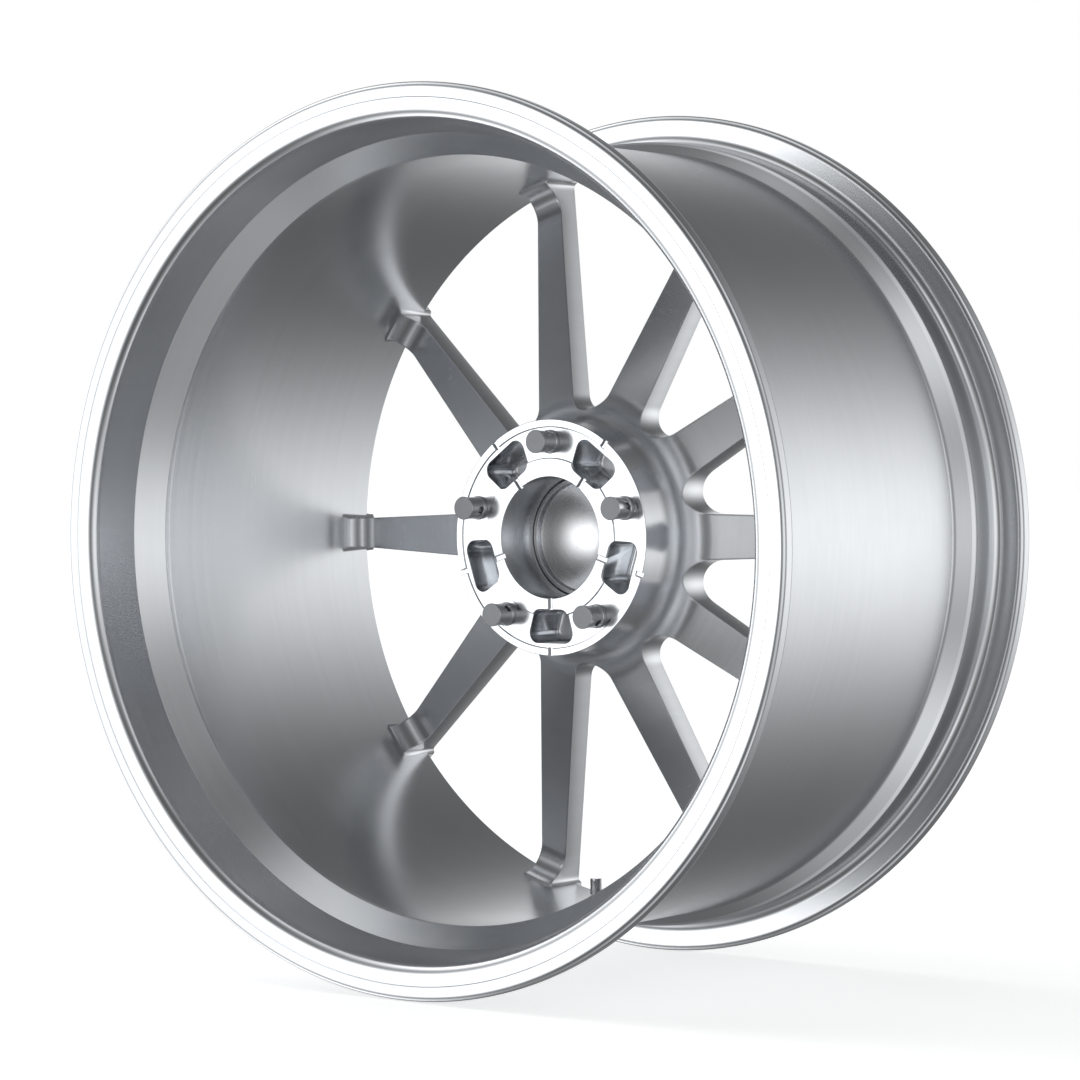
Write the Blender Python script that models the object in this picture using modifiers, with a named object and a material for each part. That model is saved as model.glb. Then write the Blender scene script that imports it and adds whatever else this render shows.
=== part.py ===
"""Forged monoblock racing wheel, 19 x 9.5 J, five-bolt, ten straight spokes, with its wheel bolts,
centre cap and tyre valve. Metres, +Z up.

The wheel stands upright. Its spin axis is the world Y axis, its centre plane is y = 0, the inboard
(car) side faces +Y and the outboard (street) side faces -Y. Every turned piece is drawn in the
wheel's own frame, whose Z axis runs outboard along the spin axis, and an empty turns that frame
into the world. The forging is one piece of metal on the real wheel. Here it is held as its rims,
barrel, hub and spokes, which meet with JOINT_GAP between them.
"""

import math

import bmesh
import bpy
from mathutils import Matrix, Vector

NAME = "forged_racing_wheel"

# --- gaps and clearances ---
JOINT_GAP = 0.0003
BOLT_HOLE_CLEARANCE = 0.0005
CAP_CLEARANCE = 0.00035
VALVE_CLEARANCE = 0.0003
CUT_PAST = 0.004

# --- rim: 19 inch bead seats, 9.5 inch between the flanges ---
BEAD_SEAT_R = 0.2413
BEAD_TO_BEAD = 0.2413
FLANGE_HEIGHT = 0.0173
FLANGE_THICKNESS = 0.01055
FLANGE_EDGE_RADIUS = 0.0018
FLANGE_ROOT_RADIUS = 0.0055
BEAD_SEAT_WIDTH = 0.0205
BEAD_SEAT_TAPER = math.radians(5.0)
HUMP_HEIGHT = 0.0008
# A depth is below the bead seat's radius, and an inset is in from the bead's plane.
WELL_DEPTH = 0.0078
WELL_WALL = 0.0052
WELL_INSET = 0.0347
RIM_JOINT_IN_INSET = 0.0547
RIM_JOINT_OUT_INSET = 0.0407
RIDGE_DEPTH = 0.0205
RIDGE_INSET = 0.0356
RIDGE_WIDTH = 0.0031
RIDGE_RUN_OUT = 0.0065
STEP_DEPTH = 0.0088
STEP_INSET = 0.0206
MOUTH_DEPTH = 0.0037
MOUTH_ROUNDING = 0.0063
LIP_EDGE_INSET = 0.0052
LIP_FACE_WIDTH = 0.0156

# --- hub ---
OFFSET_FACE_Z = 0.0118
HUB_DEPTH = 0.0547
BORE_R = 0.03625
PAD_R = 0.0705
PAD_RING_WIDTH = 0.0045
PAD_INNER_RING_R = 0.0473
PAD_RECESS = 0.0010
NECK_RADIUS = 0.0280
HUB_JOINT_R = 0.1000
BOSS_R = 0.0740
CAP_SEAT_HEIGHT = 0.0363
CAP_RECESS_CLEARANCE = 0.0008
DRAIN_SLOT_WIDTH = 0.0028
DRAIN_SLOT_DEPTH = 0.0016
POCKET_IN_R = 0.0430
POCKET_OUT_R = 0.0628
POCKET_IN_WIDTH = 0.0240
POCKET_OUT_WIDTH = 0.0350
POCKET_CORNER = 0.0058
POCKET_DEPTH = 0.0280

# --- spokes ---
SPOKES = 10
SPOKE_ROOT_R = 0.0870
SPOKE_ROOT_HEIGHT = 0.0431
SPOKE_TIP_INSET = 0.0129
SPOKE_ROOT_THICKNESS = 0.0176
SPOKE_TIP_THICKNESS = 0.0158
SPOKE_ROOT_WIDTH = 0.0275
SPOKE_TIP_WIDTH = 0.0185
WINDOW_ROOT_R = 0.0765
FOOT_BACK_FILLET = 0.0155
FOOT_SIDE_FILLET = 0.0036
FOOT_EDGE = 0.0012

# --- wheel bolts: M14, 60 degree seat ---
BOLTS = 5
PITCH_CIRCLE_R = 0.05715
BOLT_R = 0.0070
BOLT_REACH = 0.0137
BOLT_SEAT_R = 0.0115
BOLT_HEAD_FLATS = 0.0190
BOLT_HEAD_LENGTH = 0.0120
BOLT_COLLAR_LENGTH = 0.0020
BOLT_TIP_CHAMFER = 0.0003
SEAT_DEPTH = 0.0220
SEAT_ANGLE = math.radians(60.0)
SOCKET_R = 0.0142
TIP_SLOTS = 3
TIP_SLOT_WIDTH = 0.0042
TIP_SLOT_START = 0.0042
TIP_SLOT_END = 0.0114
TIP_CORE_R = 0.0022

# --- centre cap ---
CAP_SKIRT_WALL = 0.0026
CAP_SKIRT_DEPTH = 0.0045
CAP_FLANGE_OVERLAP = 0.0035
CAP_FLANGE_THICKNESS = 0.0018
CAP_WALL = 0.0020
CAP_DOME_RISE = 0.0110
SPRING_WIRE = 0.0010
SPRING_GROOVE = 0.0016

# --- tyre valve, radial, at the bottom of the wheel ---
VALVE_INSET = 0.0637
VALVE_STEM_R = 0.0040
VALVE_HEAD_R = 0.0075
VALVE_HEAD_THICKNESS = 0.0026
VALVE_SEAL_THICKNESS = 0.0020
VALVE_WASHER_THICKNESS = 0.0012
VALVE_WASHER_R = 0.0068
VALVE_NUT_FLATS = 0.0110
VALVE_NUT_THICKNESS = 0.0034
VALVE_STEM_EXPOSED = 0.0048
VALVE_NECK_R = 0.0026
VALVE_NECK_LENGTH = 0.0085
VALVE_BORE_R = 0.0017
VALVE_SEAT_R = 0.0009
VALVE_CAP_WALL = 0.0007
CORE_WALL = 0.0006
CORE_LENGTH = 0.0060
CORE_DEPTH = 0.0007
PIN_R = 0.00045
PIN_COLLAR_R = 0.0012
PIN_COLLAR_LENGTH = 0.0006
CORE_SPRING_TURNS = 5
CORE_SPRING_WIRE_R = 0.00018
CORE_SPRING_LENGTH = 0.0032
CAP_GASKET_THICKNESS = 0.0005

# --- facets ---
WHEEL_STEPS = 60
BOLT_STEPS = 20
CAP_STEPS = 36
VALVE_STEPS = 16

# --- sizes that follow from the ones above ---
RIM_R = BEAD_SEAT_R + FLANGE_HEIGHT
BEAD_Z = BEAD_TO_BEAD / 2
RIM_Z = BEAD_Z + FLANGE_THICKNESS
WELL_R = BEAD_SEAT_R - WELL_DEPTH
BARREL_IN_R = WELL_R - WELL_WALL
RIM_JOINT_IN_Z = RIM_JOINT_IN_INSET - BEAD_Z
RIM_JOINT_OUT_Z = BEAD_Z - RIM_JOINT_OUT_INSET
LIP_EDGE_Z = BEAD_Z - LIP_EDGE_INSET
VALVE_Z = BEAD_Z - VALVE_INSET
HUB_FRONT_Z = OFFSET_FACE_Z + HUB_DEPTH
CAP_SEAT_Z = OFFSET_FACE_Z + CAP_SEAT_HEIGHT
CAP_FLANGE_R = BORE_R + CAP_FLANGE_OVERLAP
CAP_RECESS_R = CAP_FLANGE_R + CAP_RECESS_CLEARANCE
BOLT_SEAT_Z = HUB_FRONT_Z - SEAT_DEPTH
SPOKE_TIP_R = BARREL_IN_R
BOLT_HOLE_R = BOLT_R + BOLT_HOLE_CLEARANCE
SPOKE_ANGLE = 2 * math.pi / SPOKES
BOLT_ANGLE = 2 * math.pi / BOLTS
FIRST_BOLT = math.radians(90)
FIRST_POCKET = FIRST_BOLT + BOLT_ANGLE / 2


# --- drawing helpers ---


def arc(centre, radius, start, end, steps):
    """Points on a circle from one angle to another, in degrees, both ends included."""
    angles = [math.radians(start + (end - start) * i / steps) for i in range(steps + 1)]
    return [(centre[0] + radius * math.cos(a), centre[1] + radius * math.sin(a)) for a in angles]


def fillet(before, corner, after, radius, steps):
    """The corner of an outline rounded to a radius, as points on an arc tangent to both sides."""
    corner = Vector(corner)
    to_before = (Vector(before) - corner).normalized()
    to_after = (Vector(after) - corner).normalized()
    half = to_before.angle(to_after) / 2
    centre = corner + (to_before + to_after).normalized() * radius / math.sin(half)
    first = corner + to_before * radius / math.tan(half) - centre
    last = corner + to_after * radius / math.tan(half) - centre
    turn = first.angle_signed(last)
    points = []
    for i in range(steps + 1):
        spin = Matrix.Rotation(-turn * i / steps, 2)
        points.append(tuple(centre + spin @ first))
    return points


def rounded(corners, radii, steps=4):
    """A closed outline with each corner rounded to its own radius, or left sharp at 0."""
    outline = []
    for i, (corner, radius) in enumerate(zip(corners, radii)):
        if radius == 0:
            outline.append(corner)
            continue
        outline += fillet(corners[i - 1], corner, corners[(i + 1) % len(corners)], radius, steps)
    return outline


def along_spoke(radius, at_root, at_tip):
    """A size that runs evenly from a spoke's root to its tip, at a distance from the spin axis."""
    share = (radius - SPOKE_ROOT_R) / (SPOKE_TIP_R - SPOKE_ROOT_R)
    return at_root + (at_tip - at_root) * share


def spoke_half_width(radius):
    return along_spoke(radius, SPOKE_ROOT_WIDTH, SPOKE_TIP_WIDTH) / 2


def spoke_back(radius):
    """Z of a spoke's inboard face."""
    return along_spoke(radius, OFFSET_FACE_Z + SPOKE_ROOT_HEIGHT, BEAD_Z - SPOKE_TIP_INSET)


def spoke_front(radius):
    """Z of a spoke's outboard face."""
    return spoke_back(radius) + along_spoke(radius, SPOKE_ROOT_THICKNESS, SPOKE_TIP_THICKNESS)


# --- scene helpers ---


def clear_scene():
    for obj in list(bpy.data.objects):
        bpy.data.objects.remove(obj, do_unlink=True)


def new_collection(name):
    made = bpy.data.collections.new(name)
    bpy.context.scene.collection.children.link(made)
    return made


def new_material(name, colour, roughness, metallic):
    made = bpy.data.materials.new(name)
    made.use_nodes = True
    shader = made.node_tree.nodes["Principled BSDF"]
    shader.inputs["Base Color"].default_value = (*colour, 1)
    shader.inputs["Roughness"].default_value = roughness
    shader.inputs["Metallic"].default_value = metallic
    return made


def turned(name, profile, steps, closed=True):
    """A turned shape: a profile of (radius, z) points swept round the Z axis by a Screw modifier.

    The profile runs down its outer side. An open one starts and ends on the axis.
    """
    mesh = bpy.data.meshes.new(name)
    edges = [(i, i + 1) for i in range(len(profile) - 1)]
    if closed:
        edges.append((len(profile) - 1, 0))
    mesh.from_pydata([(r, 0, z) for r, z in profile], edges, [])
    obj = bpy.data.objects.new(name, mesh)
    screw = obj.modifiers.new("turn", "SCREW")
    screw.steps = steps
    screw.render_steps = steps
    screw.use_merge_vertices = True
    screw.merge_threshold = 0.00001
    return obj


def prism(name, outline, low, high):
    """A flat outline of (x, y) points drawn up from z = low to z = high."""
    curve = bpy.data.curves.new(name, "CURVE")
    curve.dimensions = "2D"
    curve.fill_mode = "BOTH"
    curve.extrude = (high - low) / 2
    spline = curve.splines.new("POLY")
    spline.points.add(len(outline) - 1)
    for point, (x, y) in zip(spline.points, outline):
        point.co = (x, y, 0, 1)
    spline.use_cyclic_u = True
    guide = bpy.data.objects.new(name, curve)
    bpy.context.scene.collection.objects.link(guide)
    obj = mesh_of(guide, name)
    obj.data.transform(Matrix.Translation((0, 0, (low + high) / 2)))
    return obj


def wire(name, points, radius, cyclic):
    """A round wire along a list of points."""
    curve = bpy.data.curves.new(name, "CURVE")
    curve.dimensions = "3D"
    curve.bevel_depth = radius
    curve.bevel_resolution = 1
    curve.use_fill_caps = not cyclic
    spline = curve.splines.new("POLY")
    spline.points.add(len(points) - 1)
    for point, place in zip(spline.points, points):
        point.co = (*place, 1)
    spline.use_cyclic_u = cyclic
    guide = bpy.data.objects.new(name, curve)
    bpy.context.scene.collection.objects.link(guide)
    return mesh_of(guide, name)


def hexagon(flats, corner_steps=0):
    """The outline of a hexagon by its size across flats."""
    corners = arc((0, 0), flats / math.sqrt(3), 0, 300, 5)
    return corners if corner_steps == 0 else rounded(corners, [flats * 0.05] * 6, corner_steps)


def mesh_of(guide, name):
    """A curve made into a welded mesh object of the same name, in place of the curve."""
    graph = bpy.context.evaluated_depsgraph_get()
    mesh = bpy.data.meshes.new_from_object(guide.evaluated_get(graph))
    work = bmesh.new()
    work.from_mesh(mesh)
    bmesh.ops.remove_doubles(work, verts=work.verts, dist=0.000001)
    bmesh.ops.recalc_face_normals(work, faces=work.faces)
    work.to_mesh(mesh)
    work.free()
    matrix = guide.matrix_world.copy()
    bpy.data.objects.remove(guide, do_unlink=True)
    obj = bpy.data.objects.new(name, mesh)
    obj.matrix_world = matrix
    return obj


class Wheel:
    """The wheel's frame, its collections and the ways pieces are put in them."""

    def __init__(self):
        self.parts = new_collection(NAME)
        self.cutters = new_collection("cutters")
        self.frame = bpy.data.objects.new("wheel_frame", None)
        self.frame.rotation_euler = (math.radians(90), 0, 0)
        self.parts.objects.link(self.frame)

    def cutter(self, obj, matrix=None):
        """Keeps a shape as a cutter, in the wheel's frame."""
        self.cutters.objects.link(obj)
        obj.parent = self.frame
        obj.matrix_basis = matrix or Matrix.Identity(4)
        obj.hide_render = True
        obj.display_type = "WIRE"
        return obj

    def cut(self, obj, cutters, operation="DIFFERENCE"):
        for cutter in cutters:
            modifier = obj.modifiers.new(cutter.name, "BOOLEAN")
            modifier.operation = operation
            modifier.object = cutter
            modifier.solver = "EXACT"

    def piece(self, obj, material, matrix=None):
        """Makes a piece's modifiers part of its mesh, then puts it in its place on the wheel.

        Cutters that are made for one piece are drawn where the piece is drawn.
        """
        self.parts.objects.link(obj)
        obj.parent = self.frame
        if obj.modifiers:
            bpy.context.view_layer.update()
            graph = bpy.context.evaluated_depsgraph_get()
            mesh = bpy.data.meshes.new_from_object(obj.evaluated_get(graph))
            obj.modifiers.clear()
            obj.data = mesh
        obj.matrix_basis = matrix or Matrix.Identity(4)
        obj.data.materials.clear()
        obj.data.materials.append(material)
        obj.data.shade_smooth()
        obj.data.set_sharp_from_angle(angle=math.radians(30))
        return obj

    def copy(self, obj, name, matrix):
        """Another piece with the same mesh, at its own place."""
        made = bpy.data.objects.new(name, obj.data)
        self.parts.objects.link(made)
        made.parent = self.frame
        made.matrix_basis = matrix
        return made


def around(angle, radius=0.0, z=0.0):
    """Turns a shape round the spin axis, after moving it out along X and along Z."""
    return Matrix.Rotation(angle, 4, "Z") @ Matrix.Translation((radius, 0, z))


# --- rims and barrel ---


def flange_outer(side):
    """Tyre side of a rim edge from its outer face to its hump, side +1 outboard and -1 inboard."""
    edge = FLANGE_EDGE_RADIUS
    root = FLANGE_ROOT_RADIUS
    hump_z = BEAD_Z - BEAD_SEAT_WIDTH
    seat_r = BEAD_SEAT_R - (BEAD_SEAT_WIDTH - root) * math.tan(BEAD_SEAT_TAPER)
    points = [(RIM_R - edge, RIM_Z)]
    points += [(RIM_R, RIM_Z - edge)]
    points += [(RIM_R, BEAD_Z + edge)]
    points += [(RIM_R - edge, BEAD_Z)]
    points += arc((BEAD_SEAT_R + root, BEAD_Z - root), root, 90, 180, 3)
    points += [(seat_r, hump_z + HUMP_HEIGHT)]
    points += [(seat_r + HUMP_HEIGHT, hump_z - HUMP_HEIGHT)]
    points += [(seat_r - HUMP_HEIGHT, hump_z - 4 * HUMP_HEIGHT)]
    return [(r, side * z) for r, z in points]


def inboard_rim_profile():
    """Inboard flange, bead seat and hump, the ridge behind them and the edge of the well."""
    ridge_r = BEAD_SEAT_R - RIDGE_DEPTH
    ridge_z = RIDGE_INSET - BEAD_Z
    ridge_end = ridge_z + RIDGE_WIDTH
    outer = [(WELL_R, RIM_JOINT_IN_Z), (WELL_R, WELL_INSET - BEAD_Z)]
    outer += reversed(flange_outer(-1))
    mouth = (BEAD_SEAT_R - MOUTH_DEPTH + MOUTH_ROUNDING, MOUTH_ROUNDING - RIM_Z)
    inner = arc(mouth, MOUTH_ROUNDING, 270, 180, 4)
    inner += [(BEAD_SEAT_R - STEP_DEPTH, STEP_INSET - BEAD_Z)]
    inner += [(ridge_r, ridge_z), (ridge_r, ridge_end)]
    inner += [(BARREL_IN_R, ridge_end + RIDGE_RUN_OUT), (BARREL_IN_R, RIM_JOINT_IN_Z)]
    return outer + inner


def barrel_profile():
    low = RIM_JOINT_IN_Z + JOINT_GAP
    high = RIM_JOINT_OUT_Z
    return [(WELL_R, high), (WELL_R, low), (BARREL_IN_R, low), (BARREL_IN_R, high)]


def lip_profile(inset):
    """Street side of the outboard rim, from the barrel's edge to the lip face, moved in by inset."""
    run = RIM_R - LIP_FACE_WIDTH - BARREL_IN_R
    rise = RIM_Z - LIP_EDGE_Z
    points = [(0.0, 0.0), (0.16, 0.24), (0.42, 0.5), (0.72, 0.74), (0.92, 0.9), (1.0, 1.0)]
    return [(BARREL_IN_R + run * r - inset, LIP_EDGE_Z + rise * z) for r, z in points]


def outboard_rim_profile():
    """Outboard flange, bead seat and hump, and the flared lip inside them."""
    low = RIM_JOINT_OUT_Z + JOINT_GAP
    outer = flange_outer(1) + [(WELL_R, BEAD_Z - WELL_INSET), (WELL_R, low)]
    inner = [(BARREL_IN_R, low)] + lip_profile(0)
    return outer + inner


def build_rims(wheel, metal):
    inboard = turned("inboard_rim", inboard_rim_profile(), WHEEL_STEPS)
    wheel.piece(inboard, metal)
    outboard = turned("outboard_rim", outboard_rim_profile(), WHEEL_STEPS)
    wheel.piece(outboard, metal)
    barrel = turned("barrel", barrel_profile(), WHEEL_STEPS)
    hole = prism("valve_hole", arc((0, 0), VALVE_STEM_R + VALVE_CLEARANCE, 0, 342, 19), -0.03, 0.03)
    wheel.cutter(hole, valve_matrix(WELL_R))
    wheel.cut(barrel, [hole])
    wheel.piece(barrel, metal)


# --- hub ---


def hub_profile():
    """Half section of the hub: pad with its two raised rings, neck, stub, front and bore."""
    pad = OFFSET_FACE_Z
    recess = pad + PAD_RECESS
    ring_r = PAD_R - PAD_RING_WIDTH
    front = [(CAP_RECESS_R, CAP_SEAT_Z), (CAP_RECESS_R, HUB_FRONT_Z), (BOSS_R, HUB_FRONT_Z)]
    stub = [(HUB_JOINT_R, spoke_front(HUB_JOINT_R)), (HUB_JOINT_R, spoke_back(HUB_JOINT_R))]
    corner = (PAD_R, spoke_back(PAD_R))
    neck = fillet(stub[1], corner, (PAD_R, pad), NECK_RADIUS, 6)
    back = [(PAD_R, pad), (ring_r, pad), (ring_r, recess)]
    back += [(PAD_INNER_RING_R, recess), (PAD_INNER_RING_R, pad), (BORE_R, pad), (BORE_R, CAP_SEAT_Z)]
    return front + stub + neck + back


def window_outline():
    """Root of the window between two spokes, whose middle lies along +X, ending past the hub.

    Its sides are the spokes' own sides, and its root is a full round that both of them touch.
    """
    half = Matrix.Rotation(SPOKE_ANGLE / 2, 2)
    outer_r = HUB_JOINT_R + CUT_PAST
    near = half @ Vector((WINDOW_ROOT_R, -spoke_half_width(WINDOW_ROOT_R)))
    far = half @ Vector((outer_r, -spoke_half_width(outer_r)))
    side = (far - near).normalized()
    centre_x = (WINDOW_ROOT_R - near.x * side.y + near.y * side.x) / (1 - side.y)
    tilt = math.degrees(math.atan2(side.y, side.x))
    root = arc((centre_x, 0), centre_x - WINDOW_ROOT_R, 90 + tilt, 270 - tilt, 10)
    return root + [(far.x, -far.y), (far.x, far.y)]


def pocket_outline():
    """Rounded trapezoid of a lightening pocket, wider away from the bore, along +X."""
    inner = POCKET_IN_WIDTH / 2
    outer = POCKET_OUT_WIDTH / 2
    corners = [(POCKET_IN_R, inner), (POCKET_IN_R, -inner), (POCKET_OUT_R, -outer), (POCKET_OUT_R, outer)]
    return rounded(corners, [POCKET_CORNER] * 4, 4)


def lug_hole_profile():
    """Bolt hole with its conical seat and the socket pocket in front of it."""
    seat_z = BOLT_SEAT_Z
    cone_r = BOLT_SEAT_R + JOINT_GAP
    cone = (cone_r - BOLT_HOLE_R) / math.tan(SEAT_ANGLE / 2)
    return [
        (0, HUB_FRONT_Z + CUT_PAST),
        (SOCKET_R, HUB_FRONT_Z + CUT_PAST),
        (SOCKET_R, seat_z),
        (cone_r, seat_z),
        (BOLT_HOLE_R, seat_z - cone),
        (BOLT_HOLE_R, OFFSET_FACE_Z - CUT_PAST),
        (0, OFFSET_FACE_Z - CUT_PAST),
    ]


def build_hub(wheel, metal):
    hub = turned("hub", hub_profile(), WHEEL_STEPS)
    cutters = []
    window_top = max(HUB_FRONT_Z, spoke_front(HUB_JOINT_R)) + CUT_PAST
    for i in range(SPOKES):
        window = prism(f"window_{i + 1}", window_outline(), OFFSET_FACE_Z, window_top)
        cutters.append(wheel.cutter(window, around(SPOKE_ANGLE * (i + 0.5))))
    for i in range(BOLTS):
        pocket_angle = FIRST_POCKET + BOLT_ANGLE * i
        floor_z = OFFSET_FACE_Z + POCKET_DEPTH
        pocket = prism(f"pocket_{i + 1}", pocket_outline(), OFFSET_FACE_Z - CUT_PAST, floor_z)
        cutters.append(wheel.cutter(pocket, around(pocket_angle)))
        lug_hole = turned(f"lug_hole_{i + 1}", lug_hole_profile(), BOLT_STEPS, closed=False)
        cutters.append(wheel.cutter(lug_hole, around(FIRST_BOLT + BOLT_ANGLE * i, PITCH_CIRCLE_R)))
        half = DRAIN_SLOT_WIDTH / 2
        slot_z = OFFSET_FACE_Z + DRAIN_SLOT_DEPTH
        for ring, low_r, high_r in (
            ("inner", BORE_R - CUT_PAST, (POCKET_IN_R + POCKET_OUT_R) / 2),
            ("outer", PAD_R - PAD_RING_WIDTH - 0.0005, PAD_R + CUT_PAST),
        ):
            outline = [(low_r, -half), (high_r, -half), (high_r, half), (low_r, half)]
            slot = prism(f"drain_{ring}_{i + 1}", outline, OFFSET_FACE_Z - CUT_PAST, slot_z)
            cutters.append(wheel.cutter(slot, around(pocket_angle)))
    wheel.cut(hub, cutters)
    wheel.piece(hub, metal)


# --- spokes ---


def spoke_side_outline():
    """A spoke seen from its side, (radius, z), with the fillet that turns it into the barrel."""
    past = BARREL_IN_R + 2 * CUT_PAST + LIP_FACE_WIDTH
    corner = (BARREL_IN_R, spoke_back(BARREL_IN_R))
    root = (HUB_JOINT_R - CUT_PAST, spoke_back(HUB_JOINT_R - CUT_PAST))
    curve = fillet(root, corner, (BARREL_IN_R, 0), FOOT_BACK_FILLET, 8)
    curve = [point for point in curve if point[0] < BARREL_IN_R - FOOT_EDGE]
    foot_z = curve[-1][1] - 2 * FOOT_EDGE
    outline = [root] + curve + [(BARREL_IN_R - FOOT_EDGE, foot_z), (past, foot_z)]
    return outline + [(past, spoke_front(past)), (root[0], spoke_front(root[0]))]


def spoke_plan_outline():
    """A spoke seen along the spin axis, with its sides flared where they meet the barrel."""
    flare_r = BARREL_IN_R - FOOT_SIDE_FILLET
    flare_y = spoke_half_width(flare_r) + FOOT_SIDE_FILLET
    flare = arc((flare_r, flare_y), FOOT_SIDE_FILLET, -90, -20, 4)
    root_r = HUB_JOINT_R - CUT_PAST
    side = [(root_r, spoke_half_width(root_r))] + flare + [(BARREL_IN_R + 2 * LIP_FACE_WIDTH, flare[-1][1])]
    other = [(x, -y) for x, y in reversed(side)]
    return side + other


def disc_envelope_profile():
    """The room between the hub and the rim that the spokes fill, less the gap at both ends."""
    low_r = HUB_JOINT_R + JOINT_GAP
    outer = [(r, z) for r, z in reversed(lip_profile(JOINT_GAP))]
    outer += [(BARREL_IN_R - JOINT_GAP, OFFSET_FACE_Z)]
    return outer + [(low_r, OFFSET_FACE_Z), (low_r, outer[0][1])]


def build_spokes(wheel, metal):
    upright = Matrix.Rotation(math.radians(90), 4, "X")
    spoke = prism("spoke_01", spoke_side_outline(), -SPOKE_ROOT_WIDTH, SPOKE_ROOT_WIDTH)
    spoke.data.transform(upright)
    plan = wheel.cutter(prism("spoke_plan", spoke_plan_outline(), 0, RIM_Z + CUT_PAST))
    envelope = wheel.cutter(turned("disc_envelope", disc_envelope_profile(), WHEEL_STEPS))
    wheel.cut(spoke, [plan, envelope], "INTERSECT")
    wheel.piece(spoke, metal)
    for i in range(1, SPOKES):
        wheel.copy(spoke, f"spoke_{i + 1:02d}", around(SPOKE_ANGLE * i))


# --- wheel bolts ---


def bolt_profile():
    """Shank, conical seat and collar of a bolt, with z measured along the spin axis."""
    seat_z = BOLT_SEAT_Z - JOINT_GAP
    cone = (BOLT_SEAT_R - BOLT_R) / math.tan(SEAT_ANGLE / 2)
    tip = OFFSET_FACE_Z - BOLT_REACH
    chamfer = BOLT_TIP_CHAMFER
    return [
        (0, seat_z + BOLT_COLLAR_LENGTH),
        (BOLT_SEAT_R, seat_z + BOLT_COLLAR_LENGTH),
        (BOLT_SEAT_R, seat_z),
        (BOLT_R, seat_z - cone),
        (BOLT_R, tip + chamfer),
        (BOLT_R - chamfer, tip),
        (0, tip),
    ]


def slot_outline():
    """Round-ended slot in a bolt's tip, (z along the bolt, y across it)."""
    half = TIP_SLOT_WIDTH / 2
    tip = OFFSET_FACE_Z - BOLT_REACH
    near = arc((tip + TIP_SLOT_START + half, 0), half, 90, 270, 5)
    far = arc((tip + TIP_SLOT_END - half, 0), half, -90, 90, 5)
    return near + far


def bolt_matrix(index):
    """A bolt's place on its pitch circle. Each one has stopped at its own turn when tightened."""
    angle = FIRST_BOLT + BOLT_ANGLE * index
    own_turn = math.radians(90) - 2 * angle
    return around(angle, PITCH_CIRCLE_R) @ Matrix.Rotation(own_turn, 4, "Z")


def build_bolts(wheel, steel):
    bolt = turned("wheel_bolt_1", bolt_profile(), BOLT_STEPS, closed=False)
    seat_z = bolt_profile()[0][1]
    head = wheel.cutter(prism("bolt_head", hexagon(BOLT_HEAD_FLATS), seat_z - 0.0005, seat_z + BOLT_HEAD_LENGTH))
    wheel.cut(bolt, [head], "UNION")
    # The slots' outlines lie in the XY plane, so they are turned to run along the bolt.
    lay = Matrix.Rotation(math.radians(-90), 4, "Y")
    slots = []
    for i in range(TIP_SLOTS):
        slot = prism(f"tip_slot_{i + 1}", slot_outline(), -2 * BOLT_R, -TIP_CORE_R)
        slot.data.transform(lay)
        slots.append(wheel.cutter(slot, Matrix.Rotation(2 * math.pi / TIP_SLOTS * i, 4, "Z")))
    wheel.cut(bolt, slots)
    wheel.piece(bolt, steel, bolt_matrix(0))
    for i in range(1, BOLTS):
        wheel.copy(bolt, f"wheel_bolt_{i + 1}", bolt_matrix(i))


# --- centre cap ---


def build_cap(wheel, metal, spring_steel):
    """A turned cap pressed into the bore from the street side, held by a wire ring in its skirt."""
    skirt_r = BORE_R - CAP_CLEARANCE
    inner_r = skirt_r - CAP_SKIRT_WALL
    seat_z = CAP_SEAT_Z + JOINT_GAP
    skirt_z = CAP_SEAT_Z - CAP_SKIRT_DEPTH
    groove_z = skirt_z + SPRING_GROOVE
    groove_r = skirt_r - SPRING_WIRE
    flange_r = CAP_FLANGE_R
    top_z = seat_z + CAP_FLANGE_THICKNESS
    dome = dome_points(inner_r + CAP_WALL, top_z, CAP_DOME_RISE)
    hollow = dome_points(inner_r, top_z - CAP_WALL, CAP_DOME_RISE)
    profile = dome + [(flange_r - 0.0008, top_z), (flange_r, top_z - 0.0008), (flange_r, seat_z)]
    profile += [(skirt_r, seat_z), (skirt_r, groove_z + SPRING_GROOVE), (groove_r, groove_z + SPRING_GROOVE)]
    profile += [(groove_r, groove_z), (skirt_r, groove_z), (skirt_r, skirt_z), (inner_r, skirt_z)]
    profile += list(reversed(hollow))
    wheel.piece(turned("centre_cap", profile, CAP_STEPS, closed=False), metal)
    wire_r = (SPRING_GROOVE - 2 * JOINT_GAP) / 2
    ring_r = groove_r + JOINT_GAP + wire_r
    ring_z = groove_z + SPRING_GROOVE / 2
    # The ring is open at one side, so that it can be sprung into its groove.
    path = [(x, y, ring_z) for x, y in arc((0, 0), ring_r, 8, 352, CAP_STEPS)]
    wheel.piece(wire("cap_spring_ring", path, min(wire_r, SPRING_WIRE / 2 - 0.0001), False), spring_steel)


def dome_points(edge_r, edge_z, rise, steps=6):
    """A shallow spherical dome from the axis out to its edge."""
    radius = (edge_r**2 + rise**2) / (2 * rise)
    centre_z = edge_z + rise - radius
    span = math.asin(edge_r / radius)
    points = []
    for i in range(steps + 1):
        a = span * i / steps
        points.append((radius * math.sin(a), centre_z + radius * math.cos(a)))
    return points


# --- tyre valve ---


def valve_matrix(radius):
    """A frame at the bottom of the wheel whose Z axis points at the spin axis, radius from it."""
    place = Matrix.Translation((0, -radius, VALVE_Z))
    return place @ Matrix.Rotation(math.radians(-90), 4, "X")


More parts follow.
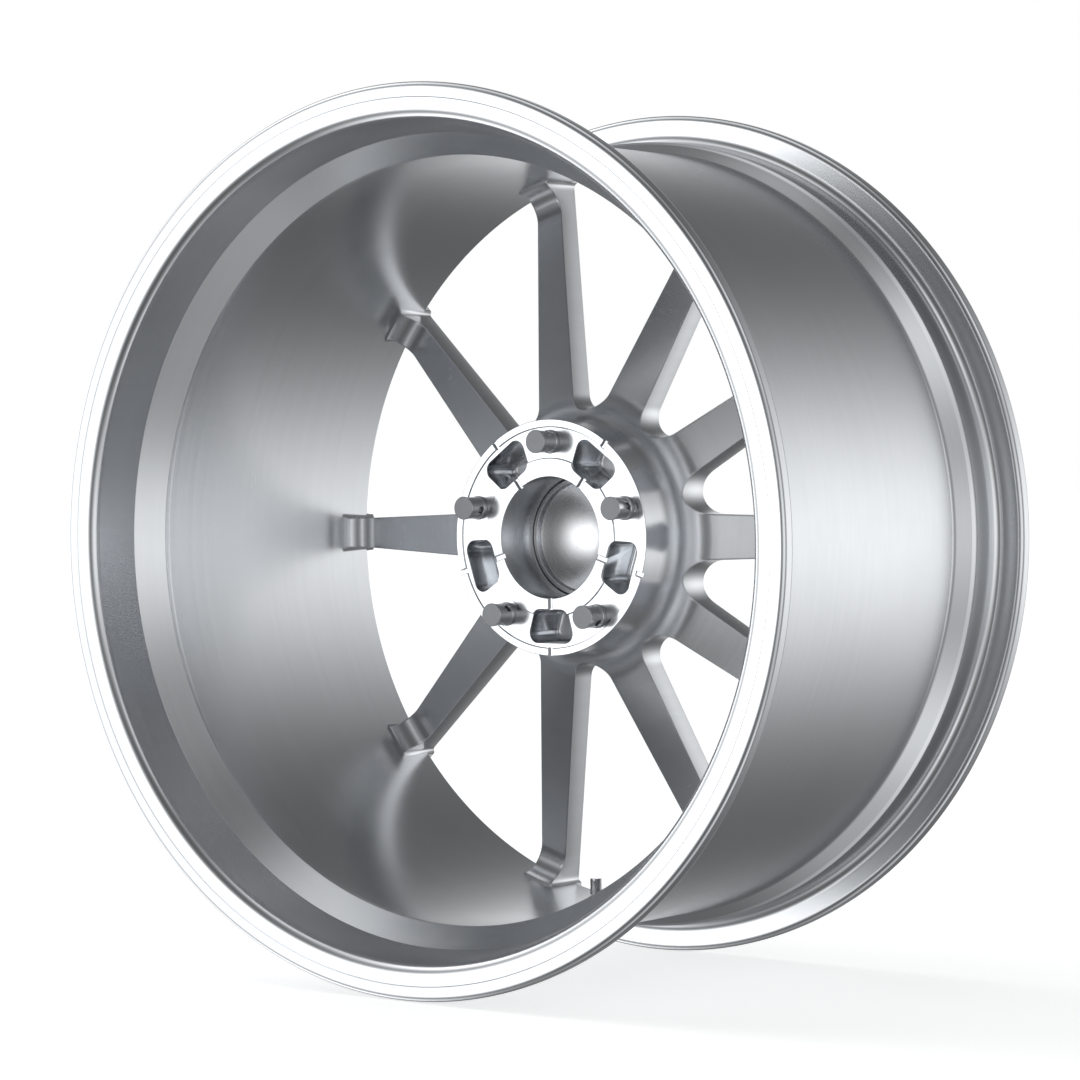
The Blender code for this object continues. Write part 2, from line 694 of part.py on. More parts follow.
def build_valve(wheel, nickel, rubber, brass):
    """Heights are measured from the barrel's inner face towards the spin axis."""
    frame = valve_matrix(BARREL_IN_R)
    gap = VALVE_CLEARANCE
    wall = -WELL_WALL
    seal_top = wall - gap
    seal_low = seal_top - VALVE_SEAL_THICKNESS
    head_top = seal_low - gap
    head_low = head_top - VALVE_HEAD_THICKNESS
    # A flat washer on the curved wall stands off by the wall's rise across its width.
    washer_low = gap + VALVE_WASHER_R * math.tan(math.pi / WHEEL_STEPS)
    washer_top = washer_low + VALVE_WASHER_THICKNESS
    nut_low = washer_top + gap
    nut_top = nut_low + VALVE_NUT_THICKNESS
    neck_low = nut_top + VALVE_STEM_EXPOSED
    neck_top = neck_low + VALVE_NECK_LENGTH
    pin_shoulder = neck_top - CORE_DEPTH - CORE_LENGTH - gap
    spring_top = pin_shoulder - PIN_COLLAR_LENGTH - gap
    spring_low = spring_top - CORE_SPRING_LENGTH
    bore_floor = spring_low - gap

    body = [
        (VALVE_BORE_R, neck_top),
        (VALVE_NECK_R, neck_top),
        (VALVE_NECK_R, neck_low),
        (VALVE_STEM_R, neck_low),
        (VALVE_STEM_R, head_top),
        (VALVE_HEAD_R, head_top),
        (VALVE_HEAD_R, head_low),
        (VALVE_SEAT_R, head_low),
        (VALVE_SEAT_R, bore_floor),
        (VALVE_BORE_R, bore_floor),
    ]
    wheel.piece(turned("valve_body", body, VALVE_STEPS), nickel, frame)

    ring_r = VALVE_STEM_R + gap
    seal = [(VALVE_HEAD_R, seal_top), (VALVE_HEAD_R, seal_low), (ring_r, seal_low), (ring_r, seal_top)]
    wheel.piece(turned("valve_seal", seal, VALVE_STEPS), rubber, frame)
    washer = [(VALVE_WASHER_R, washer_top), (VALVE_WASHER_R, washer_low)]
    washer += [(ring_r, washer_low), (ring_r, washer_top)]
    wheel.piece(turned("valve_washer", washer, VALVE_STEPS), nickel, frame)

    nut = prism("valve_nut", hexagon(VALVE_NUT_FLATS), nut_low, nut_top)
    bore = turned("nut_bore", [(0, nut_top + 0.001), (ring_r, nut_top + 0.001), (ring_r, 0), (0, 0)],
                  VALVE_STEPS, closed=False)
    wheel.cutter(bore)
    wheel.cut(nut, [bore])
    wheel.piece(nut, nickel, frame)

    cap_in_r = VALVE_NECK_R + gap
    cap_r = cap_in_r + VALVE_CAP_WALL
    gasket_low = neck_top + gap
    gasket_top = gasket_low + CAP_GASKET_THICKNESS
    cap_ceiling = gasket_top + gap
    cap_top = cap_ceiling + VALVE_CAP_WALL
    cap_low = neck_low + gap
    cap = [
        (0, cap_top),
        (cap_r - 0.0003, cap_top),
        (cap_r, cap_top - 0.0003),
        (cap_r, cap_low),
        (cap_in_r, cap_low),
        (cap_in_r, cap_ceiling),
        (0, cap_ceiling),
    ]
    wheel.piece(turned("valve_cap", cap, VALVE_STEPS, closed=False), nickel, frame)
    gasket = [(VALVE_NECK_R, gasket_top), (VALVE_NECK_R, gasket_low)]
    gasket += [(VALVE_BORE_R, gasket_low), (VALVE_BORE_R, gasket_top)]
    wheel.piece(turned("valve_cap_gasket", gasket, VALVE_STEPS), rubber, frame)

    core_r = VALVE_BORE_R - gap
    core_in_r = core_r - CORE_WALL
    core_top = neck_top - CORE_DEPTH
    core_low = core_top - CORE_LENGTH
    core = [(core_r, core_top), (core_r, core_low), (core_in_r, core_low), (core_in_r, core_top)]
    wheel.piece(turned("valve_core", core, VALVE_STEPS), brass, frame)
    pin = [
        (0, neck_top - 0.0002),
        (PIN_R, neck_top - 0.0002),
        (PIN_R, pin_shoulder),
        (PIN_COLLAR_R, pin_shoulder),
        (PIN_COLLAR_R, pin_shoulder - PIN_COLLAR_LENGTH),
        (PIN_R, pin_shoulder - PIN_COLLAR_LENGTH),
        (PIN_R, bore_floor - 0.0005),
        (0, bore_floor - 0.0005),
    ]
    wheel.piece(turned("valve_core_pin", pin, VALVE_STEPS, closed=False), brass, frame)

    coil_r = PIN_R + gap + CORE_SPRING_WIRE_R
    first = spring_low + CORE_SPRING_WIRE_R
    climb = CORE_SPRING_LENGTH - 2 * CORE_SPRING_WIRE_R
    per_turn = 8
    points = []
    for i in range(CORE_SPRING_TURNS * per_turn + 1):
        a = 2 * math.pi * i / per_turn
        rise = climb * i / (CORE_SPRING_TURNS * per_turn)
        points.append((coil_r * math.cos(a), coil_r * math.sin(a), first + rise))
    wheel.piece(wire("valve_core_spring", points, CORE_SPRING_WIRE_R, False), brass, frame)


def main():
    clear_scene()
    wheel = Wheel()
    forged = new_material("forged_aluminium", (0.72, 0.73, 0.75), 0.25, 1.0)
    bolt_steel = new_material("bolt_steel", (0.36, 0.37, 0.39), 0.32, 1.0)
    cap_metal = new_material("cap_aluminium", (0.74, 0.75, 0.77), 0.28, 1.0)
    spring_steel = new_material("spring_steel", (0.62, 0.63, 0.65), 0.25, 1.0)
    nickel = new_material("valve_nickel", (0.66, 0.66, 0.67), 0.15, 1.0)
    rubber = new_material("valve_rubber", (0.02, 0.02, 0.02), 0.7, 0.0)
    brass = new_material("valve_brass", (0.7, 0.52, 0.26), 0.3, 1.0)
    build_rims(wheel, forged)
    build_hub(wheel, forged)
    build_spokes(wheel, forged)
    build_bolts(wheel, bolt_steel)
    build_cap(wheel, cap_metal, spring_steel)
    build_valve(wheel, nickel, rubber, brass)


main()
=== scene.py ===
"""Looks for the forged racing wheel: a seamless forging, wheel bolts, centre cap and tyre valve.

The wheel's own frame has its Z axis along the spin axis, towards the street side. place() turns
that frame into the world, where the spin axis is Y and the street side faces -Y. The shapes'
lengths are in millimetres, and place() makes them metres. Materials and the studio are in metres.
"""

import math

import bmesh
import bpy
import numpy as np
from mathutils import Matrix, Vector


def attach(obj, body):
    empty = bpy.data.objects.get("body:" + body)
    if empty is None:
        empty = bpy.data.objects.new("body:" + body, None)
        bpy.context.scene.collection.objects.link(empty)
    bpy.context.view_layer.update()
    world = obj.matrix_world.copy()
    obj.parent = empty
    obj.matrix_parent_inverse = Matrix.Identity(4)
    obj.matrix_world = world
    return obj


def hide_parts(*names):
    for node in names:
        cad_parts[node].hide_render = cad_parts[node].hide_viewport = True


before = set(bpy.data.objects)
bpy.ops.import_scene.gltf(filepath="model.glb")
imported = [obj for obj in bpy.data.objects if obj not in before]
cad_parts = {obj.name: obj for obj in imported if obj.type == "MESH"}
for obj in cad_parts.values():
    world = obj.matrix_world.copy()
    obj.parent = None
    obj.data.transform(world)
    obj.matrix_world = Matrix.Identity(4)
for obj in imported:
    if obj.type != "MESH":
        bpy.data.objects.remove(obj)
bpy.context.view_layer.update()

# --- the wheel's main sizes, which repeat the CAD part's, in millimetres ---
RIM_R = 258.6
RIM_Z = 131.2
BEAD_Z = 120.65
BEAD_R = 241.3
WELL_R = 233.5
BARREL_R = 228.3
PAD_Z = 11.8
PAD_R = 70.5
BORE_R = 36.25
FRONT_Z = 66.5
BOSS_R = 74.2
CAP_SEAT_Z = 48.1
SPOKES = 10
BOLTS = 5
HALF_SECTOR = math.radians(18)
ROOT_R = 87.0
WINDOW_R = 76.5
NECK_R = 28.0
FOOT_R = 15.5
BACK_FLARE_R = 4.2
FRONT_FLARE_R = 2.4
FOOT_EDGE = 1.2
PITCH_R = 57.15
# Rims, where the tyre side has a safety hump and the street side has a dished lip.
HUMP_R = 240.8
HUMP_Z = 99.3
WELL_Z = 86.0
LIP_Z = 115.5
LIP_R = RIM_R - 15.6
MOUTH_R = 243.9
MOUTH_ROUND = 6.3
NARROW_R = 220.8
# Spokes, whose ends are hidden inside the rim beyond HIDDEN_R.
ROOT_WIDTH = 27.5
TIP_WIDTH = 18.5
ROOT_THICKNESS = 17.6
THICKNESS_TAPER = 1.8
SPOKE_EDGE = 0.4
FOOT_NEAR_R = 200.0
HIDDEN_R = 230.8
HIDDEN_END_R = 241.0
HIDDEN_Z = 113.0
HIDDEN_RISE = 13.0
FRONT_START_R = 73.5
# Hub, whose face has two raised rings with a shallow step between, and a socket for each bolt's head.
STEP_OUTER_R = 66.0
STEP_INNER_R = 47.3
STEP_DEPTH = 1.0
NECK_INSIDE_R = 72.3
CAP_RECESS_R = 40.5
POCKET_INNER_R = 43.0
POCKET_OUTER_R = 62.8
POCKET_CORNER = 5.8
POCKET_DEPTH = 28
POCKET_FLOOR_ROUND = 3
DRAIN_HALF_WIDTH = 1.4
SOCKET_DEPTH = 22.0
SOCKET_R = 14.2
HOLE_R = 7.15
# Wheel bolts.
BOLT_R = 7.0
BOLT_HEAD_R = 11.5
BOLT_FLATS = 19.0
BOLT_HEAD_HEIGHT = 12
SLOT_HALF_WIDTH = 2.1


# Faces that meet at more than this many degrees keep a hard edge.
SHARP_ANGLE = 32.0
SPOKE_SHARP_ANGLE = 38.0


def place(x, y, z):
    return (x / 1000, -z / 1000, y / 1000)


def add_mesh(name, verts, faces, sharp=SHARP_ANGLE, slots=None):
    """A mesh object from points in the wheel's frame, welded, with its normals outward."""
    work = bmesh.new()
    made = [work.verts.new(place(*v)) for v in verts]
    for i, face in enumerate(faces):
        corners = []
        for v in face:
            if made[v] not in corners:
                corners.append(made[v])
        if len(corners) < 3:
            continue
        new = work.faces.new(corners)
        if slots:
            new.material_index = slots[i]
    bmesh.ops.remove_doubles(work, verts=work.verts, dist=0.0000005)
    bmesh.ops.dissolve_degenerate(work, edges=work.edges, dist=0.0000002)
    bmesh.ops.recalc_face_normals(work, faces=work.faces)
    mesh = bpy.data.meshes.new(name)
    work.to_mesh(mesh)
    work.free()
    obj = bpy.data.objects.new(name, mesh)
    bpy.context.scene.collection.objects.link(obj)
    smooth(obj, sharp)
    return obj


def smooth(obj, sharp=SHARP_ANGLE):
    obj.data.shade_smooth()
    obj.data.set_sharp_from_angle(angle=math.radians(sharp))


def supported(points, closed=True, longest=1.6, near=0.25):
    """Points beside the ends of each long straight run, so that a rounding's shading stays inside it."""
    out = []
    for i, point in enumerate(points):
        out.append(point)
        if not closed and i == len(points) - 1:
            break
        other = points[(i + 1) % len(points)]
        length = math.dist(point, other)
        if length > longest:
            for share in (near / length, 1 - near / length):
                out.append(tuple(a + (b - a) * share for a, b in zip(point, other)))
    return out


def arc(cx, cy, radius, start, end, steps):
    out = []
    for i in range(steps + 1):
        a = math.radians(start + (end - start) * i / steps)
        out.append((cx + radius * math.cos(a), cy + radius * math.sin(a)))
    return out


def rounded(points, closed=True):
    """An outline of (x, y, radius) corners, each rounded to its radius with steps to suit."""
    out = []
    count = len(points)
    for i, (x, y, radius) in enumerate(points):
        if radius <= 0 or (not closed and i in (0, count - 1)):
            out.append((x, y))
            continue
        corner = Vector((x, y))
        before = (Vector(points[i - 1][:2]) - corner).normalized()
        after = (Vector(points[(i + 1) % count][:2]) - corner).normalized()
        half = before.angle(after) / 2
        centre = corner + (before + after).normalized() * radius / math.sin(half)
        first = corner + before * radius / math.tan(half) - centre
        last = corner + after * radius / math.tan(half) - centre
        turn = first.angle_signed(last)
        steps = max(2, int(abs(math.degrees(turn)) / 12) + 1)
        for k in range(steps + 1):
            out.append(tuple(centre + Matrix.Rotation(-turn * k / steps, 2) @ first))
    return out


def turned(name, profile, steps, closed=True, matrix=None, wave=None):
    """A profile of (radius, z) swept round Z. wave(angle, index, radius) may change a point's radius."""
    if not wave:
        profile = supported(profile, closed)
    verts = []
    faces = []
    count = len(profile)
    for s in range(steps):
        a = 2 * math.pi * s / steps
        for i, (r, z) in enumerate(profile):
            if wave:
                r = wave(a, i, r)
            p = Vector((r * math.cos(a), r * math.sin(a), z))
            verts.append(tuple(matrix @ p) if matrix else tuple(p))
    for s in range(steps):
        n = (s + 1) % steps
        for i in range(count if closed else count - 1):
            j = (i + 1) % count
            faces.append((s * count + i, s * count + j, n * count + j, n * count + i))
    return add_mesh(name, verts, faces)


def loft(name, outline, levels, matrix):
    """A closed prism with rounded ends: levels of (z, offset outward) of one flat outline."""
    count = len(outline)
    points = [Vector(p) for p in outline]
    area = sum(a.x * b.y - b.x * a.y for a, b in zip(points, points[1:] + points[:1]))
    turn = 1 if area > 0 else -1
    normals = []
    for i in range(count):
        side = points[(i + 1) % count] - points[i - 1]
        normals.append(Vector((side.y, -side.x)).normalized() * turn)
    verts = []
    for z, offset in levels:
        for p, n in zip(points, normals):
            q = p + n * offset
            verts.append(tuple(matrix @ Vector((q.x, q.y, z))))
    faces = [tuple(range(count)), tuple(range((len(levels) - 1) * count, len(levels) * count))]
    for k in range(len(levels) - 1):
        for i in range(count):
            j = (i + 1) % count
            faces.append((k * count + i, k * count + j, (k + 1) * count + j, (k + 1) * count + i))
    return add_mesh(name, verts, faces)


def combine(obj, cutters, operation="DIFFERENCE"):
    """Applies booleans and removes the cutters."""
    for cutter in cutters:
        modifier = obj.modifiers.new("cut", "BOOLEAN")
        modifier.operation = operation
        modifier.object = cutter
        modifier.solver = "EXACT"
    bpy.context.view_layer.update()
    graph = bpy.context.evaluated_depsgraph_get()
    mesh = bpy.data.meshes.new_from_object(obj.evaluated_get(graph))
    obj.modifiers.clear()
    obj.data = mesh
    for cutter in cutters:
        bpy.data.objects.remove(cutter, do_unlink=True)
    smooth(obj)
    return obj


def spin(angle):
    return Matrix.Rotation(angle, 4, "Z")


def at(angle, radius):
    return spin(angle) @ Matrix.Translation((radius, 0, 0))


def bolt_angle(i):
    """The angle of bolt i, with the first at the top. Pockets and drain slots stand at i + 0.5."""
    return math.radians(90 + 360 / BOLTS * i)


# --- materials ---


class Surface:
    """A Principled material that is built up node by node."""

    def __init__(self, name, colour, roughness, metallic=1.0):
        self.material = bpy.data.materials.new(name)
        self.material.use_nodes = True
        self.tree = self.material.node_tree
        self.shader = self.tree.nodes["Principled BSDF"]
        self.colour = colour
        self.shader.inputs["Base Color"].default_value = (*colour, 1)
        self.shader.inputs["Roughness"].default_value = roughness
        self.shader.inputs["Metallic"].default_value = metallic
        self.normal = None

    def node(self, kind, **inputs):
        made = self.tree.nodes.new(kind)
        for key, value in inputs.items():
            if isinstance(value, bpy.types.NodeSocket):
                self.tree.links.new(value, made.inputs[key])
            else:
                made.inputs[key].default_value = value
        return made

    def math(self, operation, a, b=0.0, c=0.0):
        made = self.tree.nodes.new("ShaderNodeMath")
        made.operation = operation
        for i, value in enumerate((a, b, c)):
            if isinstance(value, bpy.types.NodeSocket):
                self.tree.links.new(value, made.inputs[i])
            else:
                made.inputs[i].default_value = value
        return made.outputs[0]

    def position(self):
        """X, Y and Z of the surface point in the object's frame."""
        where = self.tree.nodes.new("ShaderNodeTexCoord")
        split = self.tree.nodes.new("ShaderNodeSeparateXYZ")
        self.tree.links.new(where.outputs["Object"], split.inputs[0])
        return split.outputs

    def vector(self, x, y, z):
        made = self.tree.nodes.new("ShaderNodeCombineXYZ")
        for i, value in enumerate((x, y, z)):
            if isinstance(value, bpy.types.NodeSocket):
                self.tree.links.new(value, made.inputs[i])
            else:
                made.inputs[i].default_value = value
        return made.outputs[0]

    def noise(self, vector, scale, detail=3.0, roughness=0.5):
        made = self.node("ShaderNodeTexNoise", Scale=scale, Detail=detail, Roughness=roughness)
        self.tree.links.new(vector, made.inputs["Vector"])
        return made.outputs["Fac"]

    def span(self, value, low, high, start=0.3, end=0.7):
        """A noise value between start and end, stretched to low and high."""
        made = self.tree.nodes.new("ShaderNodeMapRange")
        self.tree.links.new(value, made.inputs["Value"])
        made.inputs["From Min"].default_value = start
        made.inputs["From Max"].default_value = end
        made.inputs["To Min"].default_value = low
        made.inputs["To Max"].default_value = high
        return made.outputs["Result"]

    def bump(self, height, strength, distance):
        made = self.node("ShaderNodeBump", Strength=strength, Distance=distance)
        self.tree.links.new(height, made.inputs["Height"])
        if self.normal:
            self.tree.links.new(self.normal, made.inputs["Normal"])
        self.normal = made.outputs["Normal"]
        self.tree.links.new(self.normal, self.shader.inputs["Normal"])

    def rough(self, value):
        self.tree.links.new(value, self.shader.inputs["Roughness"])

    def tint(self, value, low, high):
        """Base colour between two shades of the material's own colour, by a 0 to 1 value."""
        mix = self.tree.nodes.new("ShaderNodeMix")
        mix.data_type = "RGBA"
        self.tree.links.new(value, mix.inputs["Factor"])
        mix.inputs["A"].default_value = (*[c * low for c in self.colour], 1)
        mix.inputs["B"].default_value = (*[min(c * high, 1) for c in self.colour], 1)
        self.tree.links.new(mix.outputs["Result"], self.shader.inputs["Base Color"])


def turned_metal(name, colour, roughness, centre=(0.0, 0.0), grain=1.0, streak=0.05, axis="Y"):
    """Metal turned on a lathe: fine grooves round its axis, with faint patches of smoother metal."""
    made = Surface(name, colour, roughness)
    x, y, z = made.position()
    if axis == "Y":
        a, b, along = made.math("SUBTRACT", x, centre[0]), made.math("SUBTRACT", z, centre[1]), y
    else:
        a, b, along = made.math("SUBTRACT", x, centre[0]), made.math("SUBTRACT", y, centre[1]), z
    square = made.math("ADD", made.math("MULTIPLY", a, a), made.math("MULTIPLY", b, b))
    radius = made.math("SQRT", square)
    turn = made.math("MULTIPLY", made.math("ARCTAN2", b, a), 0.004)
    rings = made.vector(radius, turn, along)
    fine = made.noise(rings, 2600 * grain, 2.0, 0.6)
    broad = made.noise(rings, 260 * grain, 2.0, 0.5)
    cloud = made.noise(made.vector(x, y, z), 14.0, 3.0, 0.55)
    wear = made.math("ADD", made.span(fine, -streak, streak), made.span(broad, -streak / 2, streak / 2))
    level = made.math("ADD", wear, made.span(cloud, roughness - 0.02, roughness + 0.03))
    made.rough(made.math("MAXIMUM", level, 0.05))
    made.tint(made.span(broad, 0.0, 1.0), 0.985, 1.015)
    made.bump(fine, 0.04, 0.00002)
    made.bump(broad, 0.008, 0.00010)
    return made.material


def milled_metal(name, colour, roughness, stretch=(1, 1, 1), grain=1.0, strength=0.12, streak=0.02):
    """Milled or brushed metal: straight fine marks along one direction."""
    made = Surface(name, colour, roughness)
    x, y, z = made.position()
    lines = made.vector(
        made.math("MULTIPLY", x, stretch[0]),
        made.math("MULTIPLY", y, stretch[1]),
        made.math("MULTIPLY", z, stretch[2]),
    )
    fine = made.noise(lines, 1500 * grain, 2.0, 0.6)
    broad = made.noise(lines, 240 * grain, 2.0, 0.5)
    cloud = made.noise(made.vector(x, y, z), 30.0, 3.0, 0.55)
    patches = made.span(cloud, roughness - 0.02, roughness + 0.03)
    level = made.math("ADD", made.span(fine, -streak, streak), patches)
    made.rough(made.math("MAXIMUM", level, 0.05))
    made.tint(made.span(broad, 0.0, 1.0), 0.98, 1.02)
    made.bump(fine, strength, 0.00003)
    made.bump(broad, strength, 0.0001)
    return made.material


def soft_rubber(name):
    made = Surface(name, (0.018, 0.018, 0.019), 0.62, 0.0)
    x, y, z = made.position()
    grain = made.noise(made.vector(x, y, z), 2200.0, 3.0, 0.6)
    made.rough(made.span(grain, 0.55, 0.75))
    made.tint(made.span(grain, 0.0, 1.0), 0.8, 1.4)
    made.bump(grain, 0.25, 0.00005)
    return made.material


ALLOY = (0.74, 0.755, 0.775)
rim_metal = turned_metal("rim_turned", ALLOY, 0.23, streak=0.012)
disc_metal = turned_metal("disc_turned", ALLOY, 0.24, streak=0.012)
wall_metal = milled_metal("window_milled", ALLOY, 0.22, (1, 0.06, 1), 1.0, 0.16)
hub_metal = turned_metal("hub_turned", ALLOY, 0.19, streak=0.012)
pocket_metal = milled_metal("pocket_milled", ALLOY, 0.20, (1, 0.2, 1), 0.8, 0.08)
bolt_metal = turned_metal("bolt_polished", (0.80, 0.81, 0.83), 0.20, grain=1.6, streak=0.02)
# A dark copy of the bolt steel for the bolts' end faces: painted shade, the same steel made darker.
bolt_end_painted_shade = milled_metal("bolt_end", (0.16, 0.165, 0.172), 0.30, (1, 0.4, 1), 1.3, 0.08)
cap_metal = turned_metal("cap_turned", (0.82, 0.83, 0.845), 0.22, grain=1.4)
spring_metal = milled_metal("spring_wire", (0.62, 0.63, 0.65), 0.25, (0.2, 1, 0.2), 1.5, 0.05)
VALVE_CENTRE = (0.0, -0.057)
nickel = turned_metal("valve_polished", (0.74, 0.74, 0.75), 0.10, VALVE_CENTRE, 2.5, 0.03, "Z")
brass = turned_metal("valve_brass", (0.72, 0.54, 0.27), 0.26, VALVE_CENTRE, 2.5, 0.04, "Z")
rubber = soft_rubber("valve_rubber")


# --- the forging: rim ---


def flange(side):
    """Tyre side of one rim edge, from its outer face to the well."""
    points = [
        (RIM_R, RIM_Z, 3.0),
        (RIM_R, BEAD_Z, 3.4),
        (BEAD_R, BEAD_Z, 5.5),
        (HUMP_R - 0.9, HUMP_Z + 2.3, 1.2),
        (HUMP_R, HUMP_Z, 1.0),
        (HUMP_R - 1.6, HUMP_Z - 2.4, 1.0),
        (WELL_R, WELL_Z, 7.0),
    ]
    return [(r, side * z, radius) for r, z, radius in points]


def lip_curve():
    """The dished lip on the street side, as shares of its way from the barrel to the rim's face."""
    run = LIP_R - BARREL_R
    rise = RIM_Z - LIP_Z
    shares = [(0.0, 0.0), (0.07, 0.12), (0.16, 0.24), (0.28, 0.37), (0.42, 0.5), (0.57, 0.62)]
    shares += [(0.72, 0.74), (0.83, 0.83), (0.92, 0.91), (0.97, 0.965), (1.0, 1.0)]
    return [(BARREL_R + run * a, LIP_Z + rise * b, 0.0) for a, b in shares]


def fine_line(radius, z, half_width, depth):
    """Three corners of a fine V line in a flat face. Signs follow the profile's way and the metal's side."""
    return [(radius - half_width, z, 0), (radius, z + depth, 0), (radius + half_width, z, 0)]


def build_rim():
    outer = flange(1) + list(reversed(flange(-1)))
    face = fine_line(249.9, -RIM_Z, -0.25, 0.35)
    mouth = [(r, z, 0) for r, z in arc(MOUTH_R, MOUTH_ROUND - RIM_Z, MOUTH_ROUND, 270, 180, 12)]
    inner = face + mouth + [
        (232.5, -100.05, 0.45),
        (NARROW_R, -85.1, 0.5),
        (NARROW_R, -82.0, 1.0),
        (BARREL_R, -75.5, 5.0),
    ]
    lip = lip_curve()
    lip[0] = (lip[0][0], lip[0][1], 0.4)
    lip[-1] = (lip[-1][0], lip[-1][1], 1.6)
    # A fine line and a groove run round the street side's face, and leave a rounded bead at its edge.
    bead = fine_line(251.65, RIM_Z, 0.25, -0.3)
    bead += [(252.3, RIM_Z, 0.2), (253.2, RIM_Z - 1.5, 0.35), (254.5, RIM_Z, 0.9)]
    profile = rounded(outer + inner + lip + bead)
    rim = turned("forging_rim", profile, 288)
    rim.data.materials.append(rim_metal)
    return rim


# --- the forging: disc of ten spokes ---


def half_width(x):
    return (ROOT_WIDTH + (TIP_WIDTH - ROOT_WIDTH) * (x - ROOT_R) / (BARREL_R - ROOT_R)) / 2


BACK_ROOT_Z = 54.9
BACK_TIP_Z = 107.75
BACK_SLOPE = (BACK_TIP_Z - BACK_ROOT_Z) / (BARREL_R - ROOT_R)


def back_line(r):
    return BACK_ROOT_Z + BACK_SLOPE * (r - ROOT_R)


def front_line(r):
    return back_line(r) + ROOT_THICKNESS - THICKNESS_TAPER * (r - ROOT_R) / (BARREL_R - ROOT_R)


def tangent_arc(r_wall, radius, side):
    """Centre of the fillet between the back and a cylinder, and the radius where it meets the back."""
    tilt = math.atan(BACK_SLOPE)
    cx = r_wall + side * radius
    cz = back_line(cx) - radius / math.cos(tilt)
    return cx, cz, cx + radius * math.cos(math.pi / 2 + tilt)


NECK_X, NECK_Z, NECK_END = tangent_arc(PAD_R, NECK_R, 1)
FOOT_X, FOOT_Z, FOOT_START = tangent_arc(BARREL_R, FOOT_R, -1)


def back_z(r):
    """The back's height, with its fillets at the hub and the barrel. Beyond HIDDEN_R it's out of sight."""
    if r > HIDDEN_R + 0.005:
        return HIDDEN_Z + HIDDEN_RISE * min((r - HIDDEN_R) / (HIDDEN_END_R - HIDDEN_R), 1.0)
    if r > FOOT_START:
        r = min(r, BARREL_R - FOOT_EDGE)
        return FOOT_Z + math.sqrt(FOOT_R**2 - (r - FOOT_X) ** 2)
    if r < NECK_END:
        return NECK_Z + math.sqrt(max(NECK_R**2 - (NECK_X - r) ** 2, 0.0))
    return back_line(r)


def front_z(r):
    """The front is flat at the boss and turns into the spokes over a soft bend."""
    flat = FRONT_Z - 0.3
    gap = front_line(r) - flat
    soft = 1.6
    sunk = 0.35
    return flat + (gap + math.sqrt(gap * gap + soft * soft)) / 2 - sunk


def side_y(x, inset, flare):
    """Half the spoke's width at x, with its flare of a given radius at the barrel, moved in by inset."""
    start = BARREL_R - flare
    base = half_width(min(x, start))
    if x <= start:
        return base - inset
    run = min(x, BARREL_R) - start
    return base + flare - math.sqrt(max((flare + inset) ** 2 - run * run, 0.0))


def window_round():
    """The full round at a window's root: its centre, its radius, and the spoke side's tilt in degrees."""
    slope = (TIP_WIDTH - ROOT_WIDTH) / 2 / (BARREL_R - ROOT_R)
    tilt = math.atan(slope)
    direction = Vector((math.cos(tilt), math.sin(tilt)))
    start = Vector((WINDOW_R, half_width(WINDOW_R)))
    middle = Vector((math.cos(HALF_SECTOR), math.sin(HALF_SECTOR)))
    # The centre lies on the window's middle line, as far from the side as from the root.
    normal = Vector((-direction.y, direction.x))
    share = middle.dot(normal)
    centre_r = (WINDOW_R - start.dot(normal)) / (1 - share)
    radius = centre_r - WINDOW_R
    centre = middle * centre_r
    return centre, radius, math.degrees(tilt)


